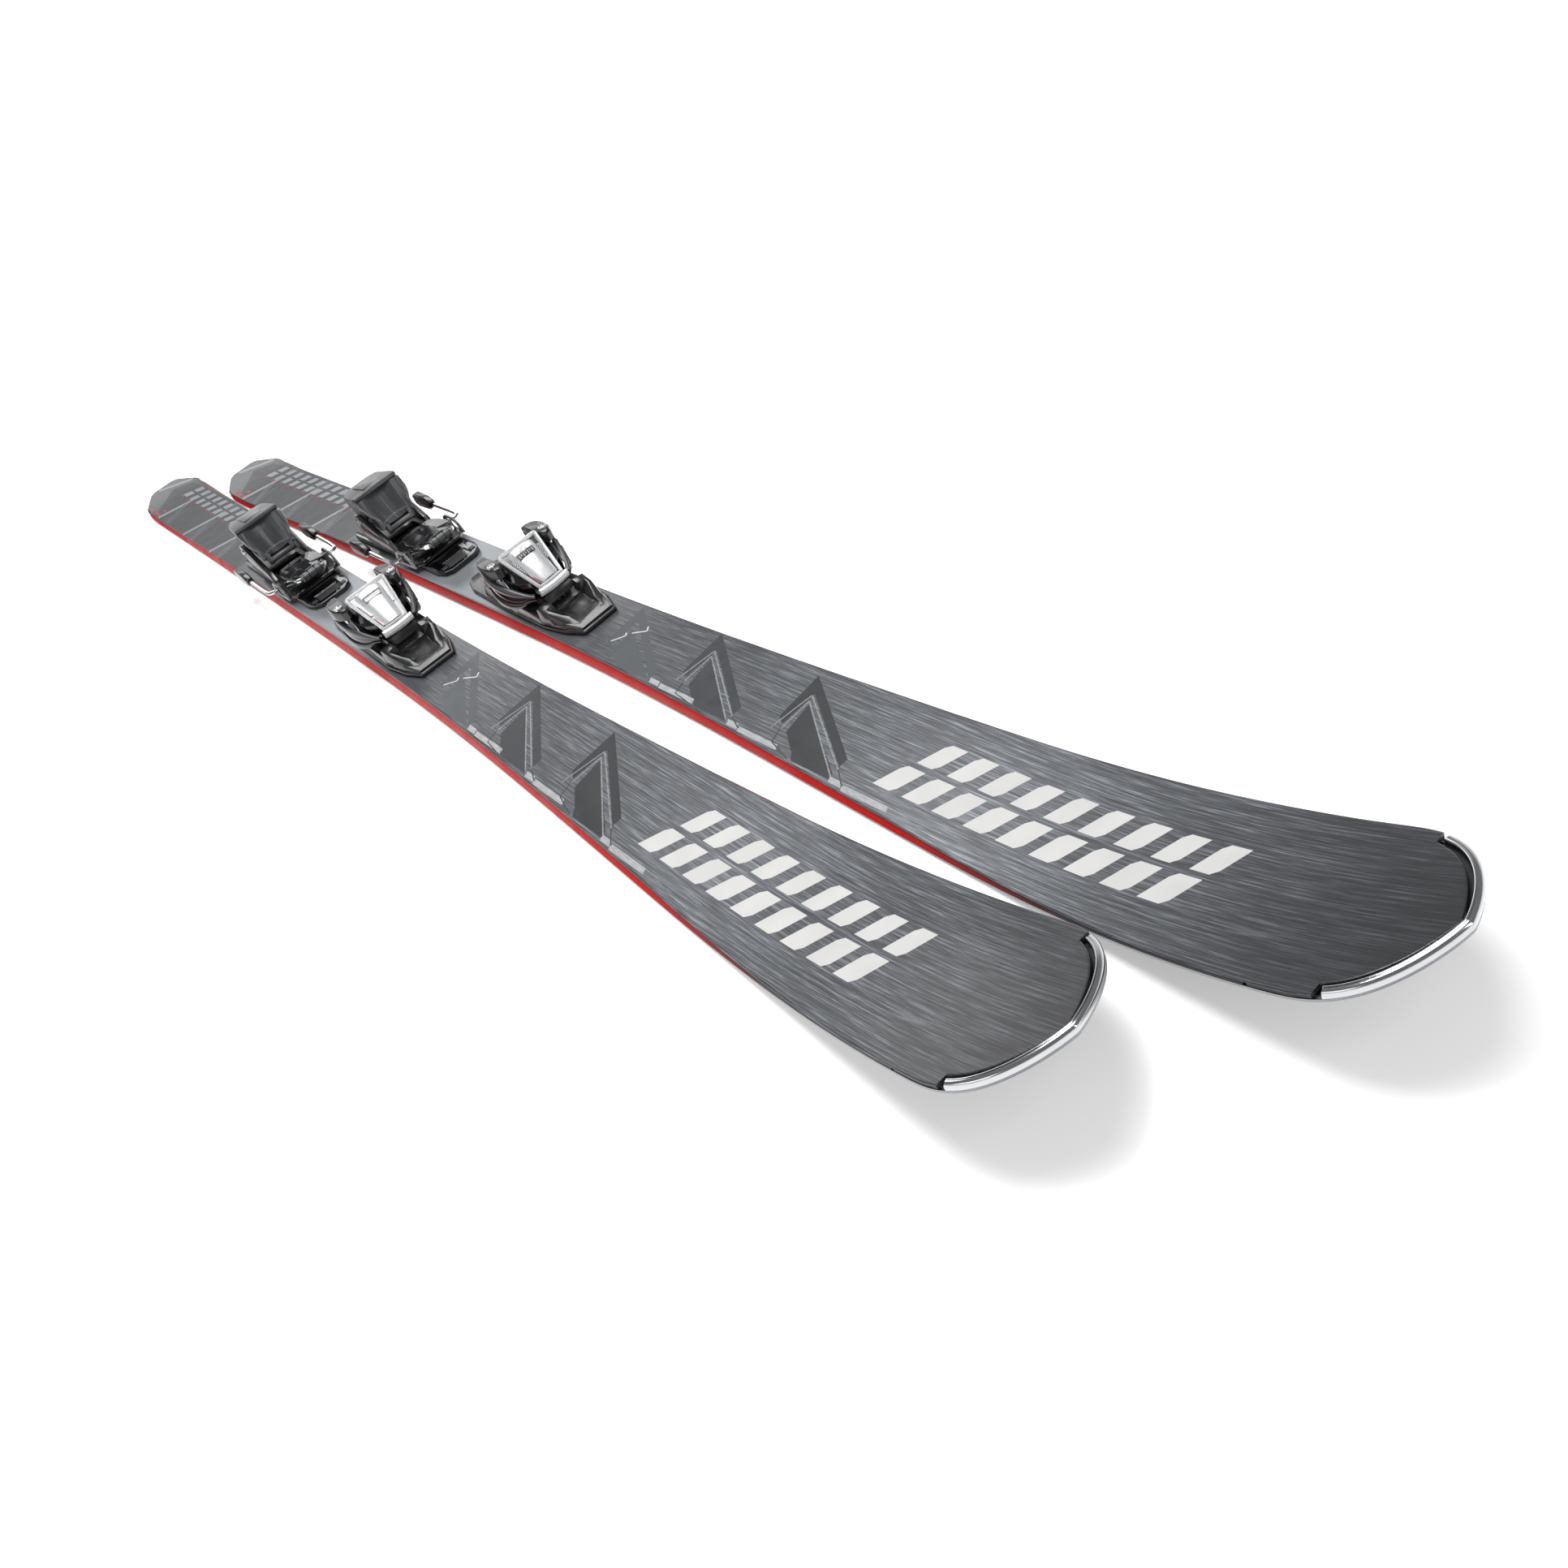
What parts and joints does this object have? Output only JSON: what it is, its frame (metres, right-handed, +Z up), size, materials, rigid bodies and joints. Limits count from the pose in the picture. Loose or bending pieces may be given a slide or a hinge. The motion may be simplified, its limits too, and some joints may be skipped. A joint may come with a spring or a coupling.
{
  "type": "pair of alpine skis with bindings",
  "caption": "Pair of wide-tipped alpine skis with step-in bindings, lying side by side, toe wings, sliding heel with cup, lever and ski brake.",
  "frame": {"origin": "middle of the pair's bounding box in plan, at floor level under the running bases", "axes": "+X towards the ski tips along the right ski, +Y towards the left ski, +Z up"},
  "size_m": [1.7988, 0.2762, 0.0859],
  "materials": {
    "topsheet": "satin printed topsheet with brushed lengthwise grain",
    "wood_core": "laminated core, hidden inside the layup",
    "sidewall": "red sidewall plastic",
    "running_base": "black sintered base",
    "edge_steel": "ground steel edge",
    "polished_steel": "polished",
    "spring_steel": "plain spring steel",
    "binding_black": "black moulded nylon, fine grain",
    "binding_satin": "satin dark grey moulding",
    "binding_charcoal": "charcoal moulded plastic",
    "gloss_black": "glossy black plastic",
    "satin_silver": "satin silver cover",
    "clear_plastic": "clear polished plastic"
  },
  "bodies": {
    "right_ski": {"right_topsheet": "topsheet", "right_core": "wood_core", "right_sidewall_left": "sidewall", "right_sidewall_right": "sidewall", "right_base": "running_base", "right_steel_edge": "edge_steel", "right_tip_guard": "polished_steel", "right_toe_plate": "binding_black", "right_toe_base": "binding_black", "right_toe_housing": "binding_black", "right_toe_cover": "satin_silver", "right_toe_bezel": "clear_plastic", "right_toe_spring": "spring_steel", "right_heel_track": "binding_black"},
    "right_toe_wing_left": {"right_toe_wing_left": "binding_satin", "right_toe_pin_left": "polished_steel"},
    "right_toe_wing_right": {"right_toe_wing_right": "binding_satin", "right_toe_pin_right": "polished_steel"},
    "right_gliding_plate": {"right_gliding_plate": "binding_charcoal"},
    "right_toe_screw": {"right_toe_screw": "spring_steel"},
    "right_heel_carriage": {"right_heel_carriage": "binding_black", "right_heel_pin": "polished_steel"},
    "right_heel_cup": {"right_heel_cup": "binding_charcoal", "right_heel_spring": "spring_steel"},
    "right_heel_lever": {"right_heel_lever": "binding_charcoal"},
    "right_heel_screw": {"right_heel_screw": "spring_steel"},
    "right_brake": {"right_brake_wire": "polished_steel", "right_brake_foot_left": "binding_black", "right_brake_foot_right": "binding_black"},
    "right_brake_pedal": {"right_brake_pedal": "gloss_black"},
    "left_ski": {"left_topsheet": "topsheet", "left_core": "wood_core", "left_sidewall_left": "sidewall", "left_sidewall_right": "sidewall", "left_base": "running_base", "left_steel_edge": "edge_steel", "left_tip_guard": "polished_steel", "left_toe_plate": "binding_black", "left_toe_base": "binding_black", "left_toe_housing": "binding_black", "left_toe_cover": "satin_silver", "left_toe_bezel": "clear_plastic", "left_toe_spring": "spring_steel", "left_heel_track": "binding_black"},
    "left_toe_wing_left": {"left_toe_wing_left": "binding_satin", "left_toe_pin_left": "polished_steel"},
    "left_toe_wing_right": {"left_toe_wing_right": "binding_satin", "left_toe_pin_right": "polished_steel"},
    "left_gliding_plate": {"left_gliding_plate": "binding_charcoal"},
    "left_toe_screw": {"left_toe_screw": "spring_steel"},
    "left_heel_carriage": {"left_heel_carriage": "binding_black", "left_heel_pin": "polished_steel"},
    "left_heel_cup": {"left_heel_cup": "binding_charcoal", "left_heel_spring": "spring_steel"},
    "left_heel_lever": {"left_heel_lever": "binding_charcoal"},
    "left_heel_screw": {"left_heel_screw": "spring_steel"},
    "left_brake": {"left_brake_wire": "polished_steel", "left_brake_foot_left": "binding_black", "left_brake_foot_right": "binding_black"},
    "left_brake_pedal": {"left_brake_pedal": "gloss_black"}
  },
  "joints": [
    {"name": "right_toe_wing_left_hinge", "type": "hinge", "parent": "right_ski", "child": "right_toe_wing_left", "pos_m": [-0.09641, -0.05163, 0.04], "axis": [0, 0, -1], "range_deg": [0, 28], "stiffness_Nm_per_rad": 2},
    {"name": "right_toe_wing_right_hinge", "type": "hinge", "parent": "right_ski", "child": "right_toe_wing_right", "pos_m": [-0.09641, -0.09763, 0.04], "axis": [0, 0, 1], "range_deg": [0, 28], "stiffness_Nm_per_rad": 2},
    {"name": "right_gliding_plate_slide", "type": "slide", "parent": "right_ski", "child": "right_gliding_plate", "axis": [0, 1, 0], "range_m": [-0.005, 0.005], "stiffness_N_per_m": 300},
    {"name": "right_toe_screw_turn", "type": "hinge", "parent": "right_ski", "child": "right_toe_screw", "pos_m": [-0.09441, -0.07463, 0.0426], "axis": [1, 0, 0], "continuous": true},
    {"name": "right_heel_carriage_slide", "type": "slide", "parent": "right_ski", "child": "right_heel_carriage", "axis": [1, 0, 0], "range_m": [-0.04, 0.012]},
    {"name": "right_heel_cup_hinge", "type": "hinge", "parent": "right_heel_carriage", "child": "right_heel_cup", "pos_m": [-0.44141, -0.07463, 0.05], "axis": [0, 1, 0], "range_deg": [0, 24]},
    {"name": "right_heel_lever_hinge", "type": "hinge", "parent": "right_heel_cup", "child": "right_heel_lever", "pos_m": [-0.41241, -0.07463, 0.0805], "axis": [0, 1, 0], "range_deg": [0, 12]},
    {"name": "right_heel_screw_turn", "type": "hinge", "parent": "right_heel_cup", "child": "right_heel_screw", "pos_m": [-0.45841, -0.07463, 0.066], "axis": [1, 0, 0], "continuous": true},
    {"name": "right_brake_hinge", "type": "hinge", "parent": "right_heel_carriage", "child": "right_brake", "pos_m": [-0.35141, -0.07463, 0.03], "axis": [0, -1, 0], "range_deg": [0, 56]},
    {"name": "right_brake_pedal_hinge", "type": "hinge", "parent": "right_brake", "child": "right_brake_pedal", "pos_m": [-0.30941, -0.07463, 0.041], "axis": [0, -1, 0], "range_deg": [-22.4, 0]},
    {"name": "left_toe_wing_left_hinge", "type": "hinge", "parent": "left_ski", "child": "left_toe_wing_left", "pos_m": [0.02192, 0.06398, 0.04], "axis": [0, 0, -1], "range_deg": [0, 28], "stiffness_Nm_per_rad": 2},
    {"name": "left_toe_wing_right_hinge", "type": "hinge", "parent": "left_ski", "child": "left_toe_wing_right", "pos_m": [0.02385, 0.01802, 0.04], "axis": [0, 0, 1], "range_deg": [0, 28], "stiffness_Nm_per_rad": 2},
    {"name": "left_gliding_plate_slide", "type": "slide", "parent": "left_ski", "child": "left_gliding_plate", "axis": [-0.0419, 0.9991, 0], "range_m": [-0.005, 0.005], "stiffness_N_per_m": 300},
    {"name": "left_toe_screw_turn", "type": "hinge", "parent": "left_ski", "child": "left_toe_screw", "pos_m": [0.02488, 0.04108, 0.0426], "axis": [0.9991, 0.0419, 0], "continuous": true},
    {"name": "left_heel_carriage_slide", "type": "slide", "parent": "left_ski", "child": "left_heel_carriage", "axis": [0.9991, 0.0419, 0], "range_m": [-0.04, 0.012]},
    {"name": "left_heel_cup_hinge", "type": "hinge", "parent": "left_heel_carriage", "child": "left_heel_cup", "pos_m": [-0.32181, 0.02655, 0.05], "axis": [-0.0419, 0.9991, 0], "range_deg": [0, 24]},
    {"name": "left_heel_lever_hinge", "type": "hinge", "parent": "left_heel_cup", "child": "left_heel_lever", "pos_m": [-0.29284, 0.02776, 0.0805], "axis": [-0.0419, 0.9991, 0], "range_deg": [0, 12]},
    {"name": "left_heel_screw_turn", "type": "hinge", "parent": "left_heel_cup", "child": "left_heel_screw", "pos_m": [-0.3388, 0.02584, 0.066], "axis": [0.9991, 0.0419, 0], "continuous": true},
    {"name": "left_brake_hinge", "type": "hinge", "parent": "left_heel_carriage", "child": "left_brake", "pos_m": [-0.23189, 0.03032, 0.03], "axis": [0.0419, -0.9991, 0], "range_deg": [0, 56]},
    {"name": "left_brake_pedal_hinge", "type": "hinge", "parent": "left_brake", "child": "left_brake_pedal", "pos_m": [-0.18993, 0.03208, 0.041], "axis": [0.0419, -0.9991, 0], "range_deg": [-22.4, 0]},
    {"name": "left_ski_lift", "type": "slide", "parent": "right_ski", "child": "left_ski", "axis": [0, 0, 1], "range_m": [0, 0.3]}
  ],
  "couplings": [
    {"joint": "right_heel_lever_hinge", "follows": "right_heel_cup_hinge", "ratio": 0.5},
    {"joint": "right_brake_pedal_hinge", "follows": "right_brake_hinge", "ratio": -0.4},
    {"joint": "left_heel_lever_hinge", "follows": "left_heel_cup_hinge", "ratio": 0.5},
    {"joint": "left_brake_pedal_hinge", "follows": "left_brake_hinge", "ratio": -0.4}
  ]
}
